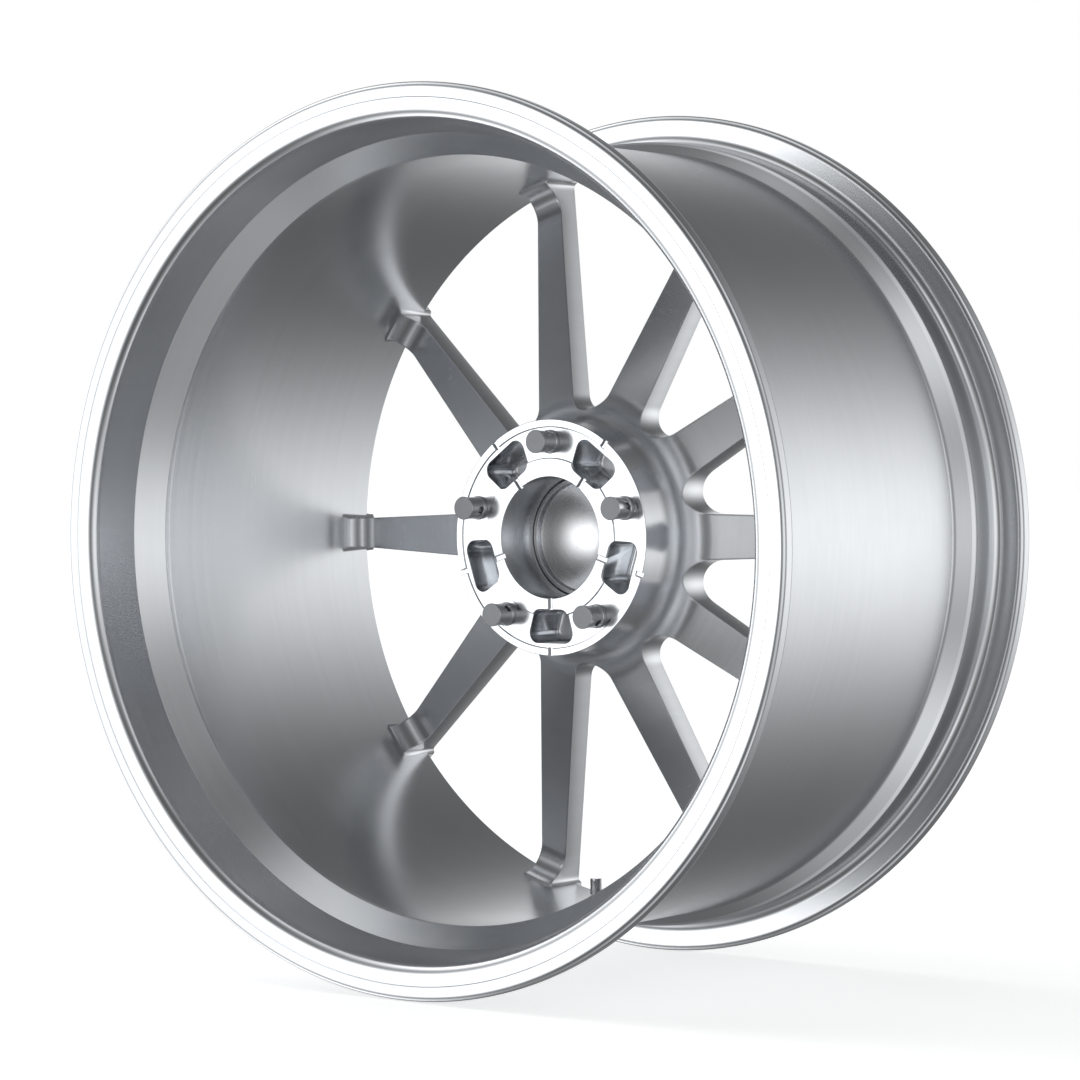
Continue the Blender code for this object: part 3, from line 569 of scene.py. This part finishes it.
def build_disc():
    centre, radius, tilt = window_round()
    edge = SPOKE_EDGE
    insets = [edge, 0.30 * edge, 0.08 * edge, 0.0]
    drops = [edge * (1 - math.sqrt(max(1 - ((edge - d) / edge) ** 2, 0.0))) for d in insets]
    columns = 16
    root_rows = 9
    round_rows = 18
    side_rows = 26
    foot_rows = 14

    rows = []
    # Inside the windows' roots the rows run right across the sector.
    start_a = math.pi
    end_a = math.pi - math.acos((NECK_X - WINDOW_R + edge) / NECK_R)
    for k in range(root_rows):
        a = start_a + (end_a - start_a) * k / root_rows
        rows.append({"r": NECK_X + NECK_R * math.cos(a)})
    # Then they follow the round at the window's root, from its deepest point to the spoke's side.
    deepest = 180 + math.degrees(HALF_SECTOR)
    for k in range(round_rows + 1):
        psi = math.radians(deepest + (270 + tilt - deepest) * k / round_rows)
        ring = []
        for d in insets:
            p = centre + Vector((math.cos(psi), math.sin(psi))) * (radius + d)
            ring.append(p)
        rows.append({"r": ring[0].length, "back": ring, "front": ring})
    first_side = rows[-1]["back"][0].x
    # Then they follow the side, with closer rows in the fillet at the foot.
    radii = list(np.linspace(first_side + 2.0, FOOT_START, side_rows))
    end_angle = math.atan2(math.sqrt(max(FOOT_R**2 - (FOOT_START - FOOT_X) ** 2, 0)), FOOT_START - FOOT_X)
    last_angle = math.acos(1 - FOOT_EDGE / FOOT_R)
    for k in range(1, foot_rows + 1):
        a = end_angle + (last_angle - end_angle) * k / foot_rows
        radii.append(FOOT_X + FOOT_R * math.cos(a))
    radii += [BARREL_R - 0.6, BARREL_R + 0.35]
    radii += [HIDDEN_R, HIDDEN_R + 0.01, 234.0, 238.0, HIDDEN_END_R]
    for r in radii:
        row = {"r": r}
        for which, flare in (("back", BACK_FLARE_R), ("front", FRONT_FLARE_R)):
            ring = []
            for d in insets:
                x = r
                for _ in range(6):
                    x = math.sqrt(r * r - side_y(x, d, flare) ** 2)
                ring.append(Vector((x, side_y(x, d, flare))))
            row[which] = ring
        rows.append(row)

    verts = []
    faces = []
    slots = []

    def point(angle, r, z, mirror):
        verts.append((r * math.cos(angle), r * math.sin(angle) * mirror, z))
        return len(verts) - 1

    def quad(a, b, c, d, slot):
        faces.append((a, b, c, d))
        slots.append(slot)

    for mirror in (1, -1):
        grids = []
        for surface, which, sign in ((back_z, "back", 1), (front_z, "front", -1)):
            grid = []
            for row in rows:
                r = row["r"]
                if surface is front_z:
                    r = max(r, FRONT_START_R)
                z = surface(r)
                width = HALF_SECTOR
                if which in row:
                    width = math.atan2(row[which][0].y, row[which][0].x)
                line = [point(width * j / columns, r, z, mirror) for j in range(columns + 1)]
                if which in row:
                    for p, drop in list(zip(row[which], drops))[1:]:
                        rp = p.length
                        at_r = min(rp, r) if r > FOOT_NEAR_R else rp
                        line.append(point(math.atan2(p.y, p.x), rp, surface(at_r) + sign * drop, mirror))
                grid.append(line)
            grids.append(grid)
            for k in range(len(rows) - 1):
                a, b = grid[k], grid[k + 1]
                wide = min(len(a), len(b))
                for j in range(wide - 1):
                    quad(a[j], a[j + 1], b[j + 1], b[j], 0)
        back, front = grids
        start = next(i for i, row in enumerate(rows) if "back" in row)
        for k in range(start, len(rows) - 1):
            quad(back[k][-1], back[k + 1][-1], front[k + 1][-1], front[k][-1], 1)
        for j in range(len(back[-1]) - 1):
            quad(back[-1][j], back[-1][j + 1], front[-1][j + 1], front[-1][j], 0)
        # The hidden inner end, inside the hub.
        hidden = [(69.8, 31.0), (69.8, 36.0), (71.7, 45.0), (71.7, 63.0)]
        previous = back[0]
        for r, z in hidden:
            line = [point(HALF_SECTOR * j / columns, r, z, mirror) for j in range(columns + 1)]
            for j in range(columns):
                quad(previous[j], previous[j + 1], line[j + 1], line[j], 0)
            previous = line
        for j in range(columns):
            quad(previous[j], previous[j + 1], front[0][j + 1], front[0][j], 0)

    count = len(verts)
    all_verts = []
    all_faces = []
    all_slots = []
    for s in range(SPOKES):
        c, n = math.cos(2 * HALF_SECTOR * s), math.sin(2 * HALF_SECTOR * s)
        all_verts += [(x * c - y * n, x * n + y * c, z) for x, y, z in verts]
        all_faces += [tuple(v + s * count for v in face) for face in faces]
        all_slots += slots
    disc = add_mesh("forging_spokes", all_verts, all_faces, SPOKE_SHARP_ANGLE, all_slots)
    disc.data.materials.append(disc_metal)
    disc.data.materials.append(wall_metal)
    return disc


# --- the forging: hub ---


def pocket_cutter(i):
    """A lightening pocket with a softened mouth and a rounded floor."""
    corner = POCKET_CORNER
    outline = rounded([
        (POCKET_INNER_R, 12.0, corner),
        (POCKET_INNER_R, -12.0, corner),
        (POCKET_OUTER_R, -17.5, corner),
        (POCKET_OUTER_R, 17.5, corner),
    ])
    ring_z = PAD_Z + STEP_DEPTH
    floor = PAD_Z + POCKET_DEPTH
    bend = POCKET_FLOOR_ROUND
    levels = [
        (PAD_Z - 4, 0.45),
        (ring_z, 0.45),
        (ring_z + 0.13, 0.16),
        (ring_z + 0.45, 0.0),
        (floor - bend, 0.0),
    ]
    for angle in (22, 45, 68, 90):
        a = math.radians(angle)
        levels.append((floor - bend + bend * math.sin(a), -bend * (1 - math.cos(a))))
    return loft(f"pocket_{i}", outline, levels, spin(bolt_angle(i + 0.5)))


def drain_cutter(i, low, high):
    """A shallow radial slot across one raised ring, from radius low to high."""
    half = DRAIN_HALF_WIDTH
    outline = [(low, -half), (high, -half), (high, half), (low, half)]
    levels = [(PAD_Z - 4, 0.4), (PAD_Z, 0.4), (PAD_Z + 0.08, 0.2), (PAD_Z + 0.4, 0), (PAD_Z + 1.7, 0)]
    return loft(f"drain_{i}", outline, levels, spin(bolt_angle(i + 0.5)))


def hole_cutter(i):
    """A bolt's hole, from the socket round its head through the cone seat to the hub's face."""
    seat = FRONT_Z - SOCKET_DEPTH
    cone = (11.8 - 7.5) / math.tan(math.radians(30))
    profile = [
        (0, FRONT_Z + 4),
        (SOCKET_R + 1, FRONT_Z + 4),
        (SOCKET_R + 1, FRONT_Z + 0.01),
        (SOCKET_R + 0.7, FRONT_Z - 0.15),
        (SOCKET_R, FRONT_Z - 0.9),
        (SOCKET_R, seat + 0.6),
        (SOCKET_R - 0.3, seat + 0.12),
        (SOCKET_R - 0.8, seat),
        (11.8, seat),
        (7.5, seat - cone),
        (HOLE_R, PAD_Z + 6),
        (HOLE_R, PAD_Z + 1.12),
        (HOLE_R + 0.1, PAD_Z + 1.0),
        (HOLE_R + 0.1, PAD_Z - 4),
        (0, PAD_Z - 4),
    ]
    return turned(f"hole_{i}", profile, 64, closed=False, matrix=at(bolt_angle(i), PITCH_R))


def build_hub():
    profile = rounded([
        (BORE_R, CAP_SEAT_Z, 0.25),
        (CAP_RECESS_R, CAP_SEAT_Z, 0.5),
        (CAP_RECESS_R, FRONT_Z, 0.8),
        (BOSS_R, FRONT_Z, 0.3),
        (BOSS_R, 63.0, 0),
        (NECK_INSIDE_R, 60.0, 0),
        (NECK_INSIDE_R, 42.0, 0),
        (PAD_R, 33.0, 0),
        (PAD_R, PAD_Z, 0.4),
        (STEP_OUTER_R, PAD_Z, 0.42),
        (STEP_OUTER_R, PAD_Z + STEP_DEPTH, 0.42),
        (STEP_INNER_R, PAD_Z + STEP_DEPTH, 0.42),
        (STEP_INNER_R, PAD_Z, 0.42),
        (BORE_R, PAD_Z, 0.5),
    ])
    hub = turned("forging_hub", profile, 200)
    hub.data.materials.append(hub_metal)
    hub.data.materials.append(pocket_metal)
    hub.data.materials.append(disc_metal)
    cutters = []
    for i in range(BOLTS):
        cutters.append(pocket_cutter(i))
        cutters.append(drain_cutter(i, BORE_R - 4, 52.0))
        cutters.append(drain_cutter(i, 65.3, PAD_R + 4))
    combine(hub, cutters)
    combine(hub, [hole_cutter(i) for i in range(BOLTS)])
    return hub


def mark_pockets(hub):
    """Gives the pockets' walls the milled finish, and the hub's outer side the spokes' finish."""
    for face in hub.data.polygons:
        c = face.center
        r = math.hypot(c.x, c.z) * 1000
        z = -c.y * 1000
        in_pocket = 42.6 < r < 63.4 and PAD_Z + 1.2 < z < 40.5
        outside = r > PAD_R - 0.2 and z > PAD_Z + 0.6
        face.material_index = 1 if in_pocket else 2 if outside else 0


# --- wheel bolts ---


def build_bolt(i):
    """A wheel bolt with a cone seat, a hexagon head, and three slots behind the disc at its tip."""
    seat = FRONT_Z - SOCKET_DEPTH - 0.3
    cone = (BOLT_HEAD_R - BOLT_R) / math.tan(math.radians(30))
    tip = PAD_Z - 13.7
    waist = BOLT_R - 0.35
    profile = rounded([
        (0, seat + 2, 0),
        (BOLT_HEAD_R, seat + 2, 0.35),
        (BOLT_HEAD_R, seat, 0.4),
        (BOLT_R, seat - cone, 1.0),
        (BOLT_R, tip + 12.5, 0),
        (waist, tip + 12.2, 0),
        (waist, tip + 1.9, 0.2),
        (BOLT_R, tip + 1.5, 0.1),
        (BOLT_R, tip, 0.3),
        (0, tip, 0),
    ], closed=False)
    angle = bolt_angle(i)
    matrix = at(angle, PITCH_R) @ spin(math.pi / 2 - 2 * angle)
    bolt = turned(f"bolt_{i + 1}", profile, 72, closed=False, matrix=matrix)
    hexagon = rounded([(x, y, 0.6) for x, y in arc(0, 0, BOLT_FLATS / math.sqrt(3), 0, 300, 5)])
    top = seat + 2 + BOLT_HEAD_HEIGHT
    head_levels = [(seat + 1, 0), (top - 0.9, 0), (top - 0.35, -0.35), (top, -1.1)]
    combine(bolt, [loft(f"head_{i}", hexagon, head_levels, matrix)], "UNION")

    half = SLOT_HALF_WIDTH
    outline = arc(-(tip + 7.0 + half), 0, half, -90, 90, 12)
    outline += arc(-(tip + 12.0 - half), 0, half, 90, 270, 12)
    slot_levels = [(14, 0.35), (6.6, 0.35), (6.3, 0.1), (5.9, 0.0), (2.2, 0.0)]
    slots = []
    for k in range(3):
        lay = matrix @ spin(math.radians(120 * k)) @ Matrix.Rotation(math.radians(90), 4, "Y")
        slots.append(loft(f"slot_{k}", outline, slot_levels, lay))
    combine(bolt, slots)
    bolt.data.materials.append(bolt_metal)
    bolt.data.materials.append(bolt_end_painted_shade)
    # The end faces take the dark copy of the steel, which is painted shade; the rest of the bolt keeps the
    # bright steel.
    for face in bolt.data.polygons:
        face.material_index = 1 if -face.center.y * 1000 < tip + 0.02 else 0
    return bolt


# --- centre cap ---


def dome(edge_r, edge_z, rise, steps=24):
    radius = (edge_r**2 + rise**2) / (2 * rise)
    middle = edge_z + rise - radius
    reach = math.asin(edge_r / radius)
    return [(radius * math.sin(reach * i / steps), middle + radius * math.cos(reach * i / steps), 0)
            for i in range(steps + 1)]


def build_cap():
    skirt = BORE_R - 0.35
    inner = skirt - 2.6
    seat = CAP_SEAT_Z + 0.3
    low = CAP_SEAT_Z - 4.5
    top = seat + 1.8
    outside = dome(inner + 2.0, top, 11.0)
    inside = list(reversed(dome(inner, top - 2.0, 11.0)))
    inside[0] = (*inside[0][:2], 0.8)
    outside[-1] = (*outside[-1][:2], 0.9)
    rim = CAP_RECESS_R - 0.75
    middle = [
        (rim, top, 0.7),
        (rim, seat, 0.3),
        (skirt, seat, 0.2),
        (skirt, low + 3.2, 0.15),
        (skirt - 1, low + 3.2, 0.1),
        (skirt - 1, low + 1.6, 0.1),
        (skirt, low + 1.6, 0.15),
        (skirt, low, 0.45),
        (inner, low, 0.45),
    ]
    profile = rounded(outside + middle + inside, closed=False)
    cap = turned("cap_dome", profile, 160, closed=False)
    cap.data.materials.append(cap_metal)
    return cap


# --- tyre valve ---


def build_valve():
    """Stem, washer, nut and dust cap. Heights run from the barrel's inner face towards the spin axis."""
    foot = Matrix.Translation((0, -BARREL_R, BEAD_Z - 63.7))
    stand = foot @ Matrix.Rotation(math.radians(-90), 4, "X")
    gap = 0.3
    washer_low = gap + 6.8 * math.tan(math.pi / 60)
    washer_top = washer_low + 1.2
    nut_low = washer_top + gap
    nut_top = nut_low + 3.4
    neck_low = nut_top + 4.8
    neck_top = neck_low + 8.5
    head_top = -5.2 - gap - 2.0 - gap
    head_low = head_top - 2.6

    stem_profile = rounded([
        (1.7, neck_top, 0.1),
        (2.6, neck_top, 0.25),
        (2.6, neck_low, 0.2),
        (4.0, neck_low, 0.4),
        (4.0, head_top, 0.3),
        (7.5, head_top, 0.3),
        (7.5, head_low, 0.6),
        (1.0, head_low, 0.1),
        (1.0, 3.0, 0),
        (1.7, 5.0, 0),
    ])
    stem = turned("valve_stem", stem_profile, 64, matrix=stand)

    washer_profile = rounded([
        (6.8, washer_top, 0.25),
        (6.8, washer_low, 0.25),
        (4.3, washer_low, 0.1),
        (4.3, washer_top, 0.1),
    ])
    washer = turned("valve_ring", washer_profile, 64, matrix=stand)

    hexagon = rounded([(x, y, 0.35) for x, y in arc(0, 0, 11.0 / math.sqrt(3), 0, 300, 5)])
    nut_levels = [(nut_low, -0.45), (nut_low + 0.3, 0), (nut_top - 0.3, 0), (nut_top, -0.45)]
    nut = loft("valve_hex", hexagon, nut_levels, stand)
    bore_profile = [
        (0, nut_top + 1),
        (4.6, nut_top + 1),
        (4.6, nut_top),
        (4.3, nut_top - 0.3),
        (4.3, nut_low - 1),
        (0, nut_low - 1),
    ]
    combine(nut, [turned("nut_bore", bore_profile, 64, closed=False, matrix=stand)])

    ceiling = neck_top + gap + 0.5 + gap
    top = ceiling + 0.7
    low = neck_low + gap
    cap = densify(rounded([
        (0, top, 0),
        (3.6, top, 0.5),
        (3.6, low + 5.4, 0.1),
        (3.45, low + 5.2, 0.1),
        (3.45, low + 4.9, 0.1),
        (3.6, low + 4.7, 0.1),
        (3.6, low, 0.25),
        (2.9, low, 0.15),
        (2.9, ceiling, 0.2),
        (0, ceiling, 0),
    ], closed=False))

    def knurl(angle, index, r):
        """Shallow upright grooves round the dust cap's grip."""
        z = cap[index][1]
        grip = low + 0.5 < z < low + 4.6 and r > 3.4
        return r - 0.1 * (0.5 + 0.5 * math.cos(28 * angle)) if grip else r

    dust = turned("valve_dust_cap", cap, 168, closed=False, matrix=stand, wave=knurl)
    for piece in (stem, washer, nut, dust):
        piece.data.materials.append(nickel)
    return stem, washer, nut, dust


def densify(points, longest=0.9):
    """The same open profile with its long runs split up, so that a knurl has points to move."""
    out = [points[0]]
    for a, b in zip(points, points[1:]):
        parts = max(1, int(math.dist(a, b) / longest))
        for k in range(1, parts + 1):
            out.append((a[0] + (b[0] - a[0]) * k / parts, a[1] + (b[1] - a[1]) * k / parts))
    return out


def keep(piece, body, slot, *nodes):
    """Hands a finished piece to the frame: its body and the nodes it replaces. The slot argument is not
    used.
    """
    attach(piece, body)
    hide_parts(*nodes)


keep(build_rim(), "wheel", "forged_aluminium", "barrel", "inboard_rim", "outboard_rim")
keep(build_disc(), "wheel", "forged_aluminium", *[f"spoke_{i:02d}" for i in range(1, SPOKES + 1)])
hub = build_hub()
mark_pockets(hub)
keep(hub, "wheel", "forged_aluminium", "hub")
for i in range(BOLTS):
    keep(build_bolt(i), f"wheel_bolt_{i + 1}", "bolt_steel", f"wheel_bolt_{i + 1}")
keep(build_cap(), "centre_cap", "cap_aluminium", "centre_cap")
stem, ring, nut, dust = build_valve()
keep(stem, "wheel", "valve_nickel", "valve_body")
keep(ring, "wheel", "valve_nickel", "valve_washer")
keep(nut, "wheel", "valve_nickel", "valve_nut")
keep(dust, "valve_cap", "valve_nickel", "valve_cap")

# The small inner pieces keep their CAD meshes and only take a material.
for node, material in (
    ("cap_spring_ring", spring_metal),
    ("valve_seal", rubber),
    ("valve_cap_gasket", rubber),
    ("valve_core", brass),
    ("valve_core_pin", brass),
    ("valve_core_spring", brass),
):
    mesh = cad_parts[node].data
    mesh.materials.clear()
    mesh.materials.append(material)


# --- studio ---


def build_floor():
    """A wide pale floor just under the wheel, which its polished faces don't mirror."""
    size = 30.0
    z = -RIM_R / 1000 - 0.0004
    corners = [(-size, -size, z), (size, -size, z), (size, size, z), (-size, size, z)]
    mesh = bpy.data.meshes.new("floor")
    mesh.from_pydata(corners, [], [(0, 1, 2, 3)])
    floor = bpy.data.objects.new("floor", mesh)
    bpy.context.scene.collection.objects.link(floor)
    made = Surface("floor_white", (0.93, 0.93, 0.93), 0.9, 0.0)
    made.shader.inputs["Specular IOR Level"].default_value = 0.0
    made.shader.inputs["Emission Color"].default_value = (1, 1, 1, 1)
    made.shader.inputs["Emission Strength"].default_value = 0.6
    mesh.materials.append(made.material)
    floor.visible_glossy = False


# A studio of soft lights in high, level and low rows. Each has an azimuth and elevation in degrees
# (azimuth 0 faces the street side), how tight it is, and how strong.
LIGHTS = {
    "face_panel": (146, 0, 25, 2.0),
    "inboard_wall": (170, 0, 20, 1.5),
    "far_high": (100, 40, 20, 2.0),
    "far_level": (90, 0, 12, 2.0),
    "far_low": (100, -40, 20, 2.0),
    "left_front": (30, 0, 20, 1.5),
    "right_front": (330, 0, 12, 1.2),
    "near_high": (270, 45, 20, 1.0),
    "near_level": (270, 0, 20, 0.5),
    "near_low": (270, -45, 20, 1.0),
    "camera_side": (245, 0, 12, 1.0),
    "ceiling": (90, 80, 20, 1.0),
    "floor_bounce": (270, -80, 12, 0.5),
}
AMBIENT = 0.11

# The camera's place round the wheel's centre, in degrees and metres, and its lens in millimetres.
CAMERA_AZIMUTH = 216.9732
CAMERA_ELEVATION = 1.1576
CAMERA_ROLL = -0.3898
CAMERA_DISTANCE = 2.05898
CAMERA_LENS = 115.7829


def build_world():
    """A pale studio of soft lights round the object, which the camera itself sees as plain white."""
    world = bpy.data.worlds.new("studio")
    bpy.context.scene.world = world
    world.use_nodes = True
    tree = world.node_tree
    tree.nodes.clear()
    where = tree.nodes.new("ShaderNodeTexCoord")

    def maths(operation, *values):
        made = tree.nodes.new("ShaderNodeMath")
        made.operation = operation
        for i, value in enumerate(values):
            if isinstance(value, bpy.types.NodeSocket):
                tree.links.new(value, made.inputs[i])
            else:
                made.inputs[i].default_value = value
        return made.outputs[0]

    glow = AMBIENT
    for azimuth, elevation, tightness, strength in LIGHTS.values():
        dot = tree.nodes.new("ShaderNodeVectorMath")
        dot.operation = "DOT_PRODUCT"
        tree.links.new(where.outputs["Generated"], dot.inputs[0])
        dot.inputs[1].default_value = direction(azimuth, elevation)
        lobe = maths("EXPONENT", maths("MULTIPLY_ADD", dot.outputs["Value"], tightness, -tightness))
        glow = maths("MULTIPLY_ADD", lobe, strength, glow)

    seen = tree.nodes.new("ShaderNodeLightPath")
    light = tree.nodes.new("ShaderNodeBackground")
    tree.links.new(glow, light.inputs["Strength"])
    light.inputs["Color"].default_value = (0.985, 0.993, 1.0, 1)
    plain = tree.nodes.new("ShaderNodeBackground")
    plain.inputs["Color"].default_value = (1, 1, 1, 1)
    plain.inputs["Strength"].default_value = 1.0
    mix = tree.nodes.new("ShaderNodeMixShader")
    tree.links.new(seen.outputs["Is Camera Ray"], mix.inputs[0])
    tree.links.new(light.outputs[0], mix.inputs[1])
    tree.links.new(plain.outputs[0], mix.inputs[2])
    out = tree.nodes.new("ShaderNodeOutputWorld")
    tree.links.new(mix.outputs[0], out.inputs[0])


def direction(azimuth, elevation):
    """A unit vector towards an azimuth and elevation in degrees."""
    a = math.radians(azimuth)
    e = math.radians(elevation)
    return Vector((math.sin(a) * math.cos(e), -math.cos(a) * math.cos(e), math.sin(e)))


def build_camera():
    """A long lens from the inboard side, close to level."""
    roll = math.radians(CAMERA_ROLL)
    back = direction(CAMERA_AZIMUTH, CAMERA_ELEVATION)
    side = (-back).cross(Vector((0, 0, 1))).normalized()
    up = side.cross(-back)
    right = side * math.cos(roll) + up * math.sin(roll)
    over = up * math.cos(roll) - side * math.sin(roll)
    matrix = Matrix((
        (right.x, over.x, back.x),
        (right.y, over.y, back.y),
        (right.z, over.z, back.z),
    )).to_4x4()
    matrix.translation = back * CAMERA_DISTANCE
    data = bpy.data.cameras.new("camera")
    data.sensor_width = 36
    data.lens = CAMERA_LENS
    data.shift_x = 0.0023508
    data.shift_y = -0.0018434
    data.clip_start = 0.05
    data.clip_end = 100
    camera = bpy.data.objects.new("camera", data)
    camera.matrix_world = matrix
    bpy.context.scene.collection.objects.link(camera)
    bpy.context.scene.camera = camera


build_floor()
build_world()
build_camera()
bpy.context.scene.view_settings.view_transform = "Standard"
